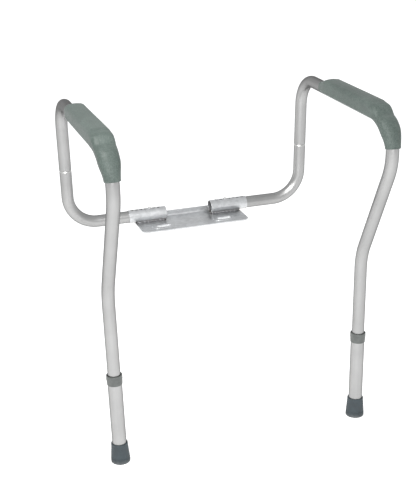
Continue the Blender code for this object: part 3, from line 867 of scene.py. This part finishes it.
def pad_ring(distance, shrink):
    """The section at a distance along the tube, drawn in by the shrink.

    It runs from one lip over the top to the other, then back in the channel the tube lies in.
    """
    half_width, height, depth = pad_size(distance)
    crease = bulge(distance, CREASE_AT, CREASE_SPREAD)
    knuckle = bulge(distance, KNUCKLE_AT, KNUCKLE_SPREAD)
    half_width -= shrink
    height += knuckle * KNUCKLE_RISE - crease * CREASE_DEPTH - shrink
    roundness = eased((distance - ROUNDING_STARTS) / ROUNDING_RUN)
    drop = height * (0.42 + 0.34 * roundness)
    inset = half_width * (0.50 + 0.38 * roundness)
    crown = 1 - 0.9 * roundness
    lip = PAD_LIP - min(shrink, 0.8) * 0.5
    towards_lip = Vector((math.cos(PAD_LIP_ANGLE), 0, -math.sin(PAD_LIP_ANGLE)))
    lip_end = towards_lip * lip
    sill, waist = Vector((half_width, 0, -depth)), Vector((half_width, 0, height * 0.15))
    corners = [towards_lip * PAD_CHANNEL, lip_end, sill, waist]
    skirt = min(2.2, (half_width - lip_end.x) * 0.4)
    path = fillet(*corners[0:3], 0.35, 4) + fillet(*corners[1:4], skirt, 6)
    half = [(point.x, point.z) for point in path]
    for step in range(16):
        angle = math.radians(90 * step / 15)
        across = half_width - inset * (1 - math.cos(angle))
        half.append((across, height - crown - drop * (1 - math.sin(angle))))
    flat = half_width - inset
    for share in (0.75, 0.5, 0.25):
        half.append((flat * share, height - crown * share * share))
    outer = half + [(0, height)] + [(-x, y) for x, y in half[::-1]]
    channel = []
    for step in range(29):
        angle = -PAD_LIP_ANGLE + (math.pi + 2 * PAD_LIP_ANGLE) * step / 28
        channel.append((PAD_CHANNEL * math.cos(angle), PAD_CHANNEL * math.sin(angle)))
    return [(x * MM, y * MM) for x, y in outer + channel[::-1]]


def make_pad(name, side):
    """The moulded foam armrest: one skin lofted along the tube and round its front bend."""
    up = rear_axis(side)
    forward = Vector((0, -1, 0))
    across = up.cross(forward)
    straight = (FRONT_REACH - ELBOW_BEND) / MM
    first, last = PAD_SECTIONS[0][0], PAD_SECTIONS[-1][0]
    # both ends are rounded off: how far in each ring is, and how much it shrinks
    ends = (0, 0.25, 0.8, 1.6)
    shrinks = (1.0, 0.45, 0.12, 0)
    stations = [(first + shift, shrink) for shift, shrink in zip(ends, shrinks)]
    inner = np.concatenate((np.arange(first + 4, straight, 5.0), np.arange(straight, last - 3, 2.6)))
    stations += [(float(distance), 0) for distance in inner]
    stations += [(last - shift, shrink) for shift, shrink in zip(ends[::-1], shrinks[::-1])]
    shape = bmesh.new()
    rings = []
    for distance, shrink in stations:
        turn = max(distance - straight, 0) * MM / ELBOW_BEND
        outwards = up * math.cos(turn) + forward * math.sin(turn)
        reach = min(distance, straight) * MM
        centre = side_point(side, reach, ARM_HEIGHT) + ELBOW_BEND * (outwards - up)
        ring = pad_ring(distance, shrink)
        rings.append([shape.verts.new(centre + across * x + outwards * y) for x, y in ring])
    piece = new_object("armrest_pad_fine_" + name, join_rings(shape, rings), 60)
    dress(piece, PAD_FOAM, "arm_" + name, ["armrest_pad_" + name])


# ---------------------------------------------------------------- bracket
BOLT_X = 70 * MM
SLOT_HALF_LENGTH, SLOT_RADIUS = 16 * MM, 5.5 * MM
LAND_HALF_LENGTH, LAND_RADIUS, LAND_TOP = 25 * MM, 13 * MM, 4 * MM
PLATE_BEND = 7 * MM
PLATE_CORNER, LIP_CORNER = 14 * MM, 6 * MM
WELD_START, WELD_END = 54 * MM, 119 * MM
WELD_RADIUS = 1.65 * MM
WELD_PITCH = 2.1 * MM
WELD_OFFSET = 6.6 * MM
WELD_RISE = 1.15 * MM


def slot_shape(middle, half_length, radius, low, high, steps=12):
    """A solid with a slot's outline, centred at a distance along X, between two heights."""
    straight = half_length - radius
    points = []
    for centre, start in ((straight, -90), (-straight, 90)):
        for step in range(steps + 1):
            angle = math.radians(start + 180 * step / steps)
            points.append((middle + centre + radius * math.cos(angle), radius * math.sin(angle)))
    shape = bmesh.new()
    rows = [[shape.verts.new((x, y, height)) for x, y in points] for height in (low, high)]
    return join_rings(shape, rows)


def make_plate():
    """The pressed plate, with a lip along its back, softened edges and a slotted land per bolt."""
    low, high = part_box("mounting_plate")
    half = high.x
    section = []
    for inset, order in ((0, 1), (PLATE_THICKNESS, -1)):
        back = high.y - inset
        corners = [Vector((low.y, 0, inset)), Vector((back, 0, inset)), Vector((back, 0, high.z))]
        section += rounded_path(corners, [PLATE_BEND - inset], math.radians(9))[::order]
    shape = bmesh.new()
    rows = [[shape.verts.new((x, point.x, point.z)) for point in section] for x in (-half, half)]
    join_rings(shape, rows)
    near = 0.1 * MM
    for spot, radius in ((low.y, PLATE_CORNER), (high.z, LIP_CORNER)):
        edges = []
        for edge in shape.edges:
            one, two = (vert.co for vert in edge.verts)
            at_end = abs(one.x + two.x) > 2 * half - near
            at_front = max(one.y, two.y) < spot + near
            at_lip = min(one.z, two.z) > spot - near
            if at_end and (at_front if spot == low.y else at_lip):
                edges.append(edge)
        bmesh.ops.bevel(shape, geom=edges, offset=radius, segments=12, profile=0.5, affect="EDGES")
    plate = new_object("mounting_plate_fine", shape)
    lands = []
    slots = []
    for middle in (-BOLT_X, BOLT_X):
        lands.append(slot_shape(middle, LAND_HALF_LENGTH, LAND_RADIUS, PLATE_THICKNESS / 2, LAND_TOP))
        slots.append(slot_shape(middle, SLOT_HALF_LENGTH, SLOT_RADIUS, -3 * MM, LAND_TOP + 3 * MM))
    cut(plate, lands, "UNION")
    cut(plate, slots)
    soften = plate.modifiers.new("soften", "BEVEL")
    soften.width = 0.45 * MM
    soften.segments = 3
    soften.limit_method = "ANGLE"
    soften.angle_limit = math.radians(40)
    smooth(apply_modifiers(plate), 35)
    dress(plate, PLATE_METAL, "bracket", ["mounting_plate"])


def make_weld(name, side, facing, rows=90, sides=14):
    """A rippled fillet bead between a socket and the plate, with tapered ends; facing is -1 in front."""
    shape = bmesh.new()
    loops = []
    for row in range(rows + 1):
        share = row / rows
        x = WELD_START + (WELD_END - WELD_START) * share
        ends = min(1, math.sin(math.pi * share) * 5) ** 0.5 if 0 < share < 1 else 0.05
        phase = (x / WELD_PITCH) % 1
        ripple = 1 + 0.09 * (1 - phase) ** 0.6 + 0.05 * math.sin(x * 900 + side)
        radius = WELD_RADIUS * ends * ripple
        y = REAR_Y + facing * (WELD_OFFSET + 0.25 * MM * math.sin(x * 700))
        centre = Vector((side * x, y, PLATE_THICKNESS + WELD_RISE))
        offsets = [Vector((0, math.cos(angle), math.sin(angle))) for angle in circle(sides)]
        loops.append([shape.verts.new(centre + offset * radius) for offset in offsets])
    piece = new_object(name, join_rings(shape, loops), 70)
    dress(piece, WELD_METAL, "bracket")


# ---------------------------------------------------------------- snap buttons
def make_snaps(name, side):
    """The three buttons and their springs; the button's top stands proud of the outer tube's radius."""
    bore, spigot_bore = TUBE_RADIUS - TUBE_WALL, SPIGOT_RADIUS - TUBE_WALL
    rear, arm = "rear_" + name, "arm_" + name
    inwards, up, down = Vector((-side, 0, 0)), rear_axis(side), -leg_axis(side)
    width_spot = width_point(side, WIDTH_BUTTON_X)
    height_spot = leg_point(side, HEIGHT_BUTTON)
    for kind, spot, outward, along, flange, outside, hollow, holder in (
        ("width", width_spot, UP, inwards, FLANGE_IN_TUBE, LEG_RADIUS, bore, rear),
        ("rear", rear_snap(side), BACK, up, FLANGE_IN_SPIGOT, TUBE_RADIUS, spigot_bore, rear),
        ("height", height_spot, leg_back(side), down, FLANGE_IN_TUBE, LEG_RADIUS, bore, arm),
    ):
        make_button(kind, name, spot, outward, flange, outside + BUTTON_PROUD)
        make_spring(kind, name, spot, outward, along, flange, hollow)


# ---------------------------------------------------------------- build
make_plate()
for name, side in SIDES:
    make_tubes(name, side)
    make_collar(name, side)
    make_tip(name, side)
    make_pad(name, side)
    make_snaps(name, side)
    for label, facing in (("front", -1), ("back", 1)):
        make_weld(f"weld_{label}_{name}", side, facing)
    dress(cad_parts["tip_washer_" + name], PLATE_METAL)


# ---------------------------------------------------------------- floor, light and camera
def make_floor():
    """A pale floor just under the tips, with a glow of its own that keeps it white."""
    shape = bmesh.new()
    place = Matrix.Translation((0, 0, FLOOR - CLEARANCE))
    bmesh.ops.create_grid(shape, x_segments=2, y_segments=2, size=60, matrix=place)
    floor = new_object("floor", shape)
    make = Nodes("pale_floor")
    make.finish((0.80, 0.80, 0.80, 1), 0.85, Emission_Color=(1, 1, 1, 1), Emission_Strength=0.53)
    floor.data.materials.append(make.material)


def area_light(name, place, target, size, power, colour=(1, 1, 1)):
    """A square softbox that faces its target."""
    data = bpy.data.lights.new(name, "AREA")
    data.size = size
    data.energy = power
    data.color = colour
    light = bpy.data.objects.new(name, data)
    light.location = place
    light.rotation_mode = "QUATERNION"
    light.rotation_quaternion = (Vector(target) - Vector(place)).to_track_quat("-Z", "Y")
    bpy.context.scene.collection.objects.link(light)


def make_light():
    """A pale studio: white at the horizon, a grey sky, softboxes over the left armrest and in front."""
    world = bpy.data.worlds.new("studio")
    world.use_nodes = True
    nodes, links = world.node_tree.nodes, world.node_tree.links
    direction = nodes.new("ShaderNodeTexCoord")
    split = nodes.new("ShaderNodeSeparateXYZ")
    above = nodes.new("ShaderNodeMapRange")
    above.inputs["From Min"].default_value, above.inputs["From Max"].default_value = 0.10, 0.30
    blend = nodes.new("ShaderNodeMix")
    blend.data_type = "RGBA"
    blend.inputs[6].default_value = (1, 1, 1, 1)
    blend.inputs[7].default_value = (0.76, 0.765, 0.77, 1)
    links.new(direction.outputs["Generated"], split.inputs[0])
    links.new(split.outputs["Z"], above.inputs["Value"])
    links.new(above.outputs["Result"], blend.inputs[0])
    links.new(blend.outputs[2], nodes["Background"].inputs["Color"])
    bpy.context.scene.world = world
    area_light("key", (-0.54, -0.50, 1.10), (-0.1, -0.2, 0.1), 0.32, 7.5, (1.0, 0.99, 0.975))
    area_light("front", (-0.70, -1.95, 1.15), (-0.35, -0.90, 0), 1.3, 29)


def make_camera():
    """The camera fitted to the photo; the focal length is in pixels of a picture 485 high."""
    yaw, pitch, roll = (math.radians(angle) for angle in (18.771, 21.371, -0.876))
    ahead = Vector((math.sin(yaw) * math.cos(pitch), math.cos(yaw) * math.cos(pitch), -math.sin(pitch)))
    level = Vector((math.cos(yaw), -math.sin(yaw), 0))
    over = level.cross(ahead)
    right = level * math.cos(roll) + over * math.sin(roll)
    upright = over * math.cos(roll) - level * math.sin(roll)
    data = bpy.data.cameras.new("camera")
    data.sensor_width = 36
    data.lens = 1077.4 / 485 * data.sensor_width
    data.clip_end = 60
    camera = bpy.data.objects.new("camera", data)
    place = Matrix((right, upright, -ahead)).transposed().to_4x4()
    place.translation = Vector((-686.4, -2112.3, 823.2)) * MM
    camera.matrix_world = place
    bpy.context.scene.collection.objects.link(camera)
    bpy.context.scene.camera = camera


make_floor()
make_light()
make_camera()
bpy.context.scene.view_settings.view_transform = "Standard"
